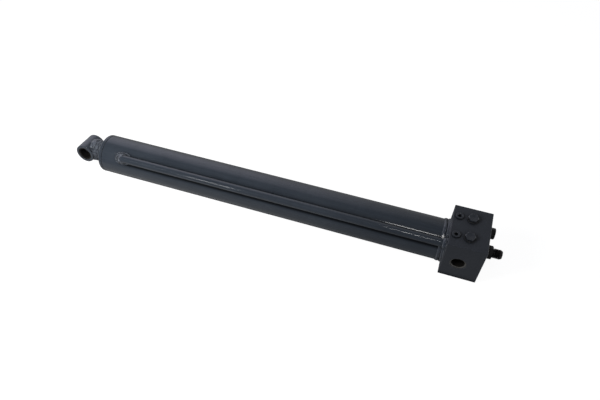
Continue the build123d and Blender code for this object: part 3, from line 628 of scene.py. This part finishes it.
tube_weld = round_weld(
    "transfer_tube_bead", TUBE_R, TUBE_BEADS, steps(WELD_X - 8.2, WELD_X - 0.05, 20), TUBE_AXIS, 240, 2.1,
    swell=0.3)
done(tube_weld, "barrel", ["transfer_tube_weld"], [weld_paint])

boss_low, boss_high = box_mm("transfer_boss")
BOSS_X = (boss_low.x + boss_high.x) / 2
BOSS_SIDE = (boss_high.x - boss_low.x) / 2 - 10.0


def on_barrel(along, across, height):
    """A point standing off the barrel beside the transfer tube's line."""
    angle = TUBE_ANGLE + across / BARREL_R
    radius = BARREL_R + height
    return Vector((BOSS_X + along, -radius * math.sin(angle), radius * math.cos(angle)))


def saddle_rings():
    """A mound of weld laid in two passes round the closed end of the tube, and thrown up over its tip."""
    half_turn, straight, rows, outer = 60, 14, 31, 12.6
    contour = []
    for i in range(half_turn + 1):
        angle = math.pi * (i / half_turn - 0.5)
        contour.append((BOSS_SIDE, Vector((math.cos(angle), math.sin(angle)))))
    for i in range(1, straight):
        contour.append((BOSS_SIDE * (1 - 2 * i / straight), Vector((0, 1))))
    for i in range(half_turn + 1):
        angle = math.pi * (i / half_turn + 0.5)
        contour.append((-BOSS_SIDE, Vector((math.cos(angle), math.sin(angle)))))
    for i in range(1, straight):
        contour.append((BOSS_SIDE * (2 * i / straight - 1), Vector((0, -1))))
    rings = []
    for j in range(rows):
        inward = outer * j / rows
        ring, run, last = [], 0.0, None
        for centre, direction in contour:
            wobble = 0.55 * lumps(centre + direction.x * 9, direction.y * 9, 5.0, 3.1)
            reach = max(0.05, outer - inward + wobble * (1 - inward / outer))
            along, across = centre + direction.x * reach, direction.y * reach
            spot = Vector((along, across))
            run += (spot - last).length if last else 0.0
            last = spot
            first = bead(inward - 2.6, 2.7, 3.1)
            second = 1.6 + bead(inward - 6.9, 3.4, 3.6) if inward > 3.5 else 0.0
            crown = 5.0 * min(1.0, max(0.0, inward - 5.5) / 4)
            over_tip = 16.8 * math.sqrt(max(0.0, 1 - ((along - 3.0) / 11.0) ** 2 - (across / 10.0) ** 2))
            height = max(first, second, crown, over_tip, -0.3 if inward < 0.1 else 0.0)
            scale = ripple(run, inward - (2.8 if inward < 4.6 else 6.6), 2.3, 0.10, 1.7)
            height += (scale - 0.5) * 0.8 * min(1.0, height / 1.5)
            height += 1.6 * lumps(along, across, 4.2, 0.4) * min(1.0, height / 2)
            ring.append(on_barrel(along, across, height))
        rings.append(ring)
    return rings


saddle = loft("saddle_weld", saddle_rings(), Matrix.Identity(4), closed=False)
done(saddle, "barrel", ["transfer_boss", "transfer_boss_weld"], [thin_weld_paint])


# Base block with its bush, caps, plugs and port fittings

BLOCK_EDGE = 0.9
MOUTH = 0.4


def block_mesh():
    """The block with its edges eased, before it is bored."""
    low = Vector((BLOCK_FACE, block_low.y, block_low.z))
    bm = bmesh.new()
    bmesh.ops.create_cube(bm, size=1.0)
    for v in bm.verts:
        v.co = Vector([(low[k] if v.co[k] < 0 else block_high[k]) * MM for k in range(3)])
    bmesh.ops.bevel(bm, geom=bm.edges[:] + bm.verts[:], offset=BLOCK_EDGE * MM, segments=3, profile=0.5,
                    affect="EDGES")
    mesh = bpy.data.meshes.new("block_body")
    bm.to_mesh(mesh)
    bm.free()
    return object_of(mesh, "block_body")


def drill(origin, along, radius, depth, flare):
    """A cutter for a hole with a countersunk mouth at the origin."""
    outline = [(-1.0, radius + flare + 1.0), (0.0, radius + flare), (flare, radius), (depth, radius)]
    return lathe("cutter", outline, placed(origin, along), 64, 0, False)


def centre_of(node):
    low, high = box_mm(node)
    return (low + high) / 2


ROWS = {row: centre_of(f"valve_cap_{row}").y for row in ("front", "rear")}
CAP_X = centre_of("valve_cap_front").x
PLUG_X = centre_of("blanking_plug_front").x
PORT_Z = centre_of("end_port_plug").z
TOP_Z = block_high.z
END_X = block_high.x
PLUG_HOLE_R = 6.0
WASHER_THICK = 1.0
SHARP = 0.01
block = block_mesh()
cutters = [
    lathe("cutter", [(-60, BUSH_R + 13), (block_low.y, BUSH_R + MOUTH), (block_low.y + MOUTH, BUSH_R),
                     (block_high.y - MOUTH, BUSH_R), (block_high.y, BUSH_R + MOUTH), (60, BUSH_R + 10)],
          placed((0, 0, 0), (0, 1, 0)), 96, 0, False),
    drill((BLOCK_FACE, TUBE_Y, TUBE_Z), (1, 0, 0), TUBE_R + 0.05, 6.0, SHARP),
]
for y in ROWS.values():
    cutters.append(drill((END_X, y, PORT_Z), (-1, 0, 0), PORT_R, 13.0, SHARP))
    cutters.append(drill((CAP_X, y, TOP_Z), (0, 0, -1), PORT_R, 12.0, SHARP))
    cutters.append(drill((PLUG_X, y, TOP_Z), (0, 0, -1), PLUG_HOLE_R, 13.0, SHARP))
cut(block, cutters)
done(block, "barrel", ["base_block"], [block_paint])


def bush(name, low, high, matrix):
    """A chamfered bush, bright at its ends and dark in its bore."""
    outer, mouth = BUSH_R - 0.02, PIN_R + 1.0
    outline = [(low, mouth, 0.1), (low, outer, 0.25), (high, outer, 0.25), (high, mouth, 0.1),
               (high - 1.0, PIN_R, 0.2), (low + 1.0, PIN_R, 0.2)]
    return lathe(name, outline, matrix, 128, tone=lambda height, radius: 1 if radius < PIN_R + 0.3 else 0)


base_bush = bush("base_bush", block_bush_low.y, block_bush_high.y, placed((0, 0, 0), (0, 1, 0)))
done(base_bush, "barrel", ["base_pin_bush"], [bush_steel, oiled_shaded_bore])


CAP_HEXAGON, END_PLUG_HEXAGON, ADAPTER_HEXAGON = 17.0, 19.0, 22.0


def valve_cap(row):
    """Hexagon cap with a turned collar under it and a shallow dish in its head."""
    bottom, top = box_mm(f"valve_cap_{row}")
    collar_z, hex_z = TOP_Z + WASHER_THICK, TOP_Z + 1.5
    bore, collar, waist = 4.6, 9.4, 7.8
    where = placed((CAP_X, ROWS[row], 0), (0, 0, 1), (1, 0, 0))
    dish = [circle(top.z - 0.4, 3.0), circle(top.z - 0.6, 0.4)]
    head = loft("head", hex_rings(hex_z, top.z, CAP_HEXAGON) + dish, where, closed=False)
    shank = lathe("shank", [
        (bottom.z, bore), (bottom.z, THREAD_R, 0.8), (collar_z, THREAD_R, 0), (collar_z, collar, 0.2),
        (hex_z, collar, 0.2), (hex_z, waist, 0), (hex_z + 0.5, waist, 0), (hex_z + 0.5, bore, 0),
    ], where, 96)
    return joined(f"hex_cap_{row}", [head, shank])


def socket_plug(row):
    """Collared plug with a chamfered hexagon socket."""
    bottom, top = box_mm(f"blanking_plug_{row}")
    where = placed((PLUG_X, ROWS[row], 0), (0, 0, 1), (1, 0, 0))
    thread, collar = PLUG_HOLE_R - 0.05, 7.5
    outline = rounded([(bottom.z, 5.0, 0), (bottom.z, thread, 0.6), (TOP_Z, thread, 0), (TOP_Z, collar, 0.2),
                       (top.z, collar, 0.9), (top.z, 4.4, 0.3), (top.z - 0.3, 4.1, 0)], 0.3, closed=False)
    rings = [circle(p.x, p.y) for p in outline]
    rings += [hexagon(top.z - 0.9, 6.4, corner=0.2), hexagon(top.z - 4.2, 6.0, corner=0.2),
              circle(top.z - 5.0, 0.4)]
    return loft(f"socket_plug_{row}", rings, where, closed=False)


for row in ROWS:
    done(valve_cap(row), "barrel", [f"valve_cap_{row}"], [block_paint])
    done(socket_plug(row), "barrel", [f"blanking_plug_{row}"], [block_paint])


def washer(name, matrix, outer):
    inner = PORT_R + 0.05
    outline = [(0, inner), (0, outer), (WASHER_THICK, outer), (WASHER_THICK, inner)]
    return lathe(name, outline, matrix, 96, 0.25)


FITTING_THREAD = 11

cap_washers = joined("cap_washers", [
    washer("washer", placed((CAP_X, y, TOP_Z), (0, 0, 1)), 10.5) for y in ROWS.values()])
done(cap_washers, "barrel", ["valve_cap_washers"], [washer_steel])
for node, row in (("adapter_washer", "front"), ("end_plug_washer", "rear")):
    ring = washer(f"port_washer_{row}", placed((END_X, ROWS[row], PORT_Z), (1, 0, 0)), 11.0)
    done(ring, "barrel", [node], [washer_steel])


def end_plug():
    """Hexagon plug with a shallow dish in its head."""
    where = placed((0, ROWS["rear"], PORT_Z), (1, 0, 0), (0, 0, 1))
    seat, top = END_X + WASHER_THICK, box_mm("end_port_plug")[1].x
    foot, neck = seat - FITTING_THREAD, seat + 0.2
    rings = hex_rings(seat, top, END_PLUG_HEXAGON) + [circle(top - 0.5, 3.6), circle(top - 0.8, 0.4)]
    shank = lathe("shank", [(foot, 0.4, 0), (foot, THREAD_R, 0.8), (neck, THREAD_R, 0), (neck, 0.4, 0)],
                  where, 64)
    return joined("end_plug", [loft("head", rings, where, closed=False), shank])


done(end_plug(), "barrel", ["end_port_plug"], [black_fitting])


def thread_rings(start, end, radius, pitch, depth):
    """Rings of a screw thread that runs out smoothly at both ends."""
    rings, per_pitch, count = [], 10, 96
    total = round((end - start) / pitch * per_pitch)
    for k in range(total + 1):
        height = start + (end - start) * k / total
        fade = min(1.0, (height - start) / pitch, (end - height) / pitch)
        ring = []
        for i in range(count):
            angle = TURN * i / count
            phase = (height / pitch - angle / TURN) % 1
            notch = min(1.0, max(0.0, 2.3 * abs(phase - 0.5) - 0.12))
            here = radius - depth * notch * max(0.0, fade)
            ring.append(Vector((here * math.cos(angle), here * math.sin(angle), height)))
        rings.append(ring)
    return rings


def hose_adapter():
    """Hexagon with a threaded nose whose mouth is a 24 degree cone."""
    where = placed((0, ROWS["front"], PORT_Z), (1, 0, 0), (0, 0, 1))
    seat, mouth = END_X + WASHER_THICK, box_mm("hose_adapter")[1].x
    foot, hex_end, hose_r, neck_r = seat - FITTING_THREAD, seat + 10.0, 9.0, 7.9
    shank = [(foot, 4.0), (foot, 7.6), (foot + 0.7, THREAD_R), (seat, THREAD_R)]
    neck = [(hex_end, neck_r + 0.5), (hex_end + 0.5, neck_r), (hex_end + 1.6, neck_r),
            (hex_end + 2.0, neck_r + 0.1)]
    nose = [(mouth - 3.5, hose_r - 0.25), (mouth - 2.4, hose_r - 0.75), (mouth - 1.3, hose_r - 1.3),
            (mouth - 0.4, hose_r - 1.85), (mouth, 6.9), (mouth, 6.6)]
    cone = [(mouth - 0.25, 6.3), (mouth - 7.0, 5.4), (mouth - 9.0, 4.0)]
    rings = [circle(*p) for p in shank] + hex_rings(seat, hex_end, ADAPTER_HEXAGON)
    rings += [circle(*p) for p in neck] + thread_rings(hex_end + 2.2, mouth - 3.6, hose_r, 1.5, 0.92)
    rings += [circle(*p) for p in nose + cone]
    return loft("hose_adapter_body", rings, where)


done(hose_adapter(), "barrel", ["hose_adapter"], [black_fitting])


# Valve springs

SPRING_WIRE_R = 0.45
SPRING_TURNS = 5
CLOSED_PITCH = 2.1 * SPRING_WIRE_R


def coil_spring(row):
    """Wire spring from the poppet's pocket up to the cap, with its end turns closed."""
    low, high = box_mm(f"poppet_spring_{row}")
    middle = centre_of(f"poppet_spring_{row}")
    radius = (high.x - low.x) / 2 - SPRING_WIRE_R
    rise = high.z - low.z - 2 * SPRING_WIRE_R
    open_pitch = (rise - 2 * CLOSED_PITCH) / (SPRING_TURNS - 2)
    rings, height, per_turn = [], low.z + SPRING_WIRE_R, 48
    for k in range(SPRING_TURNS * per_turn + 1):
        turn = k / per_turn
        out = Vector((math.cos(TURN * turn), math.sin(TURN * turn), 0))
        centre = Vector((middle.x, middle.y, height)) + out * radius
        rings.append([centre + out * p.x + Vector((0, 0, p.y)) for p in circle(0, SPRING_WIRE_R, 14)])
        opened = min(1.0, max(0.0, (min(turn, SPRING_TURNS - turn) - 0.75) / 0.5))
        height += (CLOSED_PITCH + (open_pitch - CLOSED_PITCH) * opened) / per_turn
    return loft(f"coil_spring_{row}", rings, Matrix.Identity(4), closed=False)


for row in ROWS:
    spring = done(coil_spring(row), "barrel", [f"poppet_spring_{row}"], [spring_steel])
    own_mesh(spring)


# Intermediate stage

sleeve = lathe("sleeve_bar", [
    (sleeve_low.x, STAGE_SEAT_R + 0.1, 0.2), (sleeve_low.x, SLEEVE_R, 0.4), (SLEEVE_TAIL_X, SLEEVE_R, 0.3),
    (SLEEVE_TAIL_X, SLEEVE_TAIL_R, 0.2), (sleeve_high.x, SLEEVE_TAIL_R, 0.3),
    (sleeve_high.x, SLEEVE_BORE_R, 0.3), (STAGE_SEAT_X, SLEEVE_BORE_R, 0.2),
    (STAGE_SEAT_X, STAGE_SEAT_R + 0.05, 0.2),
], count=BIG_COUNT, tone=painted_outside(SLEEVE_R - 0.5))
done(sleeve, "sleeve", ["sleeve_tube"], [chrome, steel])

STAGE_WIPER_X = stage_low.x + 5.0
STAGE_HOLES_R = 27.5
stage_head = lathe("stage_head", [
    (STAGE_WIPER_X, STAGE_BORE_R, 0.2), (STAGE_WIPER_X, STAGE_LIP_R + 0.3, 0),
    (stage_low.x, STAGE_LIP_R + 0.4, 0.3), (stage_low.x, STAGE_HEAD_R, 1.6),
    (sleeve_low.x, STAGE_HEAD_R, 0.4), (sleeve_low.x, STAGE_SEAT_R, 0.1), (STAGE_SEAT_X, STAGE_SEAT_R, 0.2),
    (STAGE_SEAT_X, STAGE_SPIGOT_R, 0.2), (STAGE_SPIGOT_X, STAGE_SPIGOT_R, 0.2),
    (STAGE_SPIGOT_X, STAGE_LIP_R, 0.2),
    (stage_high.x, STAGE_LIP_R, 0.4), (stage_high.x, STAGE_BORE_R, 0.4),
], count=192)
cut(stage_head, [spanner_hole(stage_low.x, 4, side * STAGE_HOLES_R, 0) for side in (-1, 1)])
done(stage_head, "sleeve", ["stage_gland"], [steel])


# Rod and its eye

EYE_PLACE = placed(EYE, EYE_AXIS, (1, 0, 0))
HALF_EYE = EYE_WIDTH / 2


def against_eye(point, clearance):
    """Moves a point along the cylinder until it is at least that far from the eye's axis."""
    offset = point - EYE
    across = offset - offset.dot(EYE_AXIS) * EYE_AXIS
    least = math.sqrt(max(0.0, clearance ** 2 - across.z ** 2 - across.y ** 2))
    return Vector((max(point.x, EYE.x + least), point.y, point.z))


def fitted_to_eye(rings, clearance):
    """Rings about the cylinder's axis, in the row frame, with their outer end saddled to the eye."""
    return [[against_eye(ALONG_X @ p, clearance) for p in ring] for ring in rings]


PAINT_END = -772.0
rod_outline = rounded([(EYE.x + 5, ROD_R, 0), (PAINT_END, ROD_R, 0), (PAINT_END + 0.6, ROD_R, 0),
                       (ROD_TAIL_X, ROD_R, 0.3), (ROD_TAIL_X, ROD_TAIL_R, 0.3), (rod_high.x, ROD_TAIL_R, 1.2),
                       (rod_high.x, 0.4, 0)], 0.3, closed=False)
neck = [Vector((x, ROD_R)) for x in steps(EYE.x + 5, PAINT_END - 1, 30)]
rod_points = neck + rod_outline[1:]
rod_bar = loft("rod_bar", fitted_to_eye([circle(p.x, p.y, 192) for p in rod_points], EYE_R - 0.3),
               Matrix.Identity(4), closed=False,
               tones=[0 if p.x < PAINT_END - 0.5 else (1 if p.x < ROD_TAIL_X - 1 else 2) for p in rod_points])
done(rod_bar, "ram", ["rod"], [cylinder_paint, chrome, steel])

EYE_BORE_R = BUSH_R + 0.02
eye_ring = lathe("eye_ring", [
    (-HALF_EYE, EYE_BORE_R, 0.5), (-HALF_EYE, EYE_R, 1.4),
    (HALF_EYE, EYE_R, 1.4), (HALF_EYE, EYE_BORE_R, 0.5),
], EYE_PLACE, 128)
done(eye_ring, "ram", ["eye_tube"], [cylinder_paint])
eye_liner = bush("eye_liner", -HALF_EYE + 0.5, HALF_EYE - 0.5, EYE_PLACE)
done(eye_liner, "ram", ["eye_bush"], [greased_steel, oiled_shaded_bore])


def on_neck(height, radius, angle):
    """A point of the eye's weld, kept clear of the eye's own metal."""
    return against_eye(Vector((height, -radius * math.sin(angle), radius * math.cos(angle))), EYE_R - 0.25)


def eye_weld():
    """Fillet of weld round the foot of the eye, thrown up against it in crescents."""
    rings, count, inside, highest = [], 300, 18.5, 23.8
    heights = steps(EYE.x + 9, EYE.x + 37.5, 52)
    for height in heights:
        ring = []
        for i in range(count):
            angle = TURN * i / count
            run = angle * ROD_R
            wander = 0.8 * math.sin(2 * angle + 0.6) + 0.5 * math.sin(5 * angle)
            outer = bead(height - EYE.x - 33.0 - 0.5 * wander, 3.6, 1.5)
            toe = bead(height - EYE.x - 25.5 - wander, 4.8, 2.6)
            throat = bead(height - EYE.x - 15.5 - wander, 8.0, 3.9)
            body = max(outer, toe, throat)
            scale = ripple(run, height - EYE.x - (25.5 if toe > throat else 16.5), 2.9, 0.05, 5.5)
            radius = ROD_R - 0.2 + body + (scale - 0.5) * 1.0 * min(1.0, body)
            radius += 1.4 * lumps(run, height, 5.5, 8.8) * min(1.0, body / 2)
            ring.append(on_neck(height, min(radius, highest), angle))
        rings.append(ring)
    first, last = [[on_neck(height, inside, TURN * i / count) for i in range(count)]
                   for height in (heights[0], heights[-1])]
    return loft("eye_weld_bead", [first] + rings + [last], Matrix.Identity(4))


done(eye_weld(), "ram", ["eye_weld"], [thin_weld_paint])


# Floor, light and camera

PAPER_R = 16.0
PAPER_WALL = 12.0
PAPER_GLOW = 0.93


def studio_stage():
    """White ground that the block's edge and the barrel's head both rest on, turned up into a round wall.
    Only the camera sees it, so that the finish reflects the studio's lights and not the ground."""
    slope = 0.006 / 0.739
    ground = block_low.z * MM - 0.0002
    profile = [(0.02, 0.0), (2.0, 0.0), (PAPER_R * 0.8, 0.0)]
    profile += [(PAPER_R * (0.8 + 0.2 * math.sin(t)), PAPER_R * 0.2 * (1 - math.cos(t)))
                for t in steps(0.1, math.pi / 2, 12)]
    profile.append((PAPER_R, PAPER_WALL))
    rings = [circle(z, r) for r, z in profile]
    piece = loft("studio_stage", rings, Matrix.Scale(1 / MM, 4), closed=False)
    cap = max(piece.data.polygons, key=lambda face: face.center.z)
    bm = bmesh.new()
    bm.from_mesh(piece.data)
    bm.faces.ensure_lookup_table()
    bmesh.ops.delete(bm, geom=[bm.faces[cap.index]], context="FACES_ONLY")
    for v in bm.verts:
        v.co.z += ground - (v.co.x - BLOCK_FACE * MM) * slope
    bm.to_mesh(piece.data)
    bm.free()
    f = Finish("stage_paper", Specular_IOR_Level=0.1)
    grain = f.noise(40, 5, 0.6)
    f.surface.inputs["Emission Color"].default_value = (1, 1, 1, 1)
    f.surface.inputs["Emission Strength"].default_value = PAPER_GLOW
    colour = f.mix(grain, (0.16, 0.16, 0.16), (0.18, 0.18, 0.18))
    piece.data.materials.append(f.end(colour, f.spread(grain, 0, 1, 0.7, 0.8)))
    piece.visible_diffuse = piece.visible_glossy = False


def area_light(name, place, target, width, height, power, colour=(1, 1, 1), shines=True):
    """A soft box aimed at a point, its long side level."""
    light = bpy.data.lights.new(name, "AREA")
    light.shape, light.size, light.size_y, light.energy = "RECTANGLE", width, height, power
    light.color = colour
    lamp = bpy.data.objects.new(name, light)
    lamp.location = place
    lamp.rotation_mode = "QUATERNION"
    lamp.rotation_quaternion = (Vector(target) - Vector(place)).to_track_quat("-Z", "Y")
    lamp.visible_glossy = shines
    bpy.context.scene.collection.objects.link(lamp)


def studio_room():
    """The room that the finish reflects: dark overhead, a soft box behind on the left, pale end walls."""
    world = bpy.data.worlds.new("studio")
    bpy.context.scene.world = world
    world.use_nodes = True
    tree = world.node_tree

    def node(kind, links, **settings):
        made = tree.nodes.new("ShaderNode" + kind)
        for name, value in settings.items():
            setattr(made, name, value)
        for socket, value in links.items():
            if isinstance(value, bpy.types.NodeSocket):
                tree.links.new(value, made.inputs[socket])
            else:
                made.inputs[socket].default_value = value
        return made

    def ramp(value, low, high):
        links = {"Value": value, "From Min": low, "From Max": high}
        return node("MapRange", links, interpolation_type="SMOOTHSTEP").outputs["Result"]

    def times(a, b):
        return node("Math", {0: a, 1: b}, operation="MULTIPLY").outputs[0]

    axes = node("SeparateXYZ", {"Vector": node("TexCoord", {}).outputs["Generated"]}).outputs
    left = ramp(axes["X"], 0.10, -0.50)
    front_floor = times(ramp(axes["Z"], -0.02, -0.45), ramp(axes["Y"], 0.30, -0.10))
    back_wall = times(ramp(axes["Y"], 0.35, 0.85), ramp(axes["Z"], -1.05, -0.05))
    soft_box = times(times(ramp(axes["Y"], 0.22, 0.52), ramp(axes["Z"], -0.25, 0.55)), left)
    glows = [
        ((0.23, 0.23, 0.23), back_wall),
        ((0.66, 0.64, 0.76), soft_box),
        ((0.10, 0.10, 0.10), front_floor),
        ((0.24, 0.24, 0.24), times(front_floor, left)),
        ((0.60, 0.60, 0.62), ramp(axes["X"], 0.22, 0.75)),
        ((0.50, 0.50, 0.52), ramp(axes["X"], -0.66, -0.95)),
    ]
    total = (0.036, 0.040, 0.048)
    for colour, amount in glows:
        share = node("VectorMath", {0: colour, 3: amount}, operation="SCALE").outputs[0]
        total = node("VectorMath", {0: total, 1: share}, operation="ADD").outputs[0]
    tree.links.new(total, tree.nodes["Background"].inputs["Color"])


studio_stage()
studio_room()
area_light("key", (-1.00, -0.56, 0.74), (-0.55, 0, 0), 0.5, 0.5, 14.0, shines=False)
area_light("strip_high", (-0.085, -0.66, 1.50), (-0.09, -0.02, 0.03), 0.27, 0.06, 1.7)
area_light("strip_low", (-1.05, -1.25, 0.71), (-0.5, -0.035, 0.035), 0.24, 0.10, 1.6)

camera_data = bpy.data.cameras.new("camera")
camera_data.lens, camera_data.sensor_width = 31.69, 36.0
camera_data.clip_start, camera_data.clip_end = 0.05, 80.0
camera = bpy.data.objects.new("camera", camera_data)
forward = Vector((-0.21246, 0.59611, -0.77428))
up = Vector((-0.24567, 0.73433, 0.63277))
view = Matrix((forward.cross(up), up, -forward)).transposed().to_4x4()
view.translation = Vector((-0.097167, -0.634438, 0.831707))
camera.matrix_world = view
bpy.context.scene.collection.objects.link(camera)
bpy.context.scene.camera = camera
bpy.context.scene.view_settings.view_transform = "Standard"
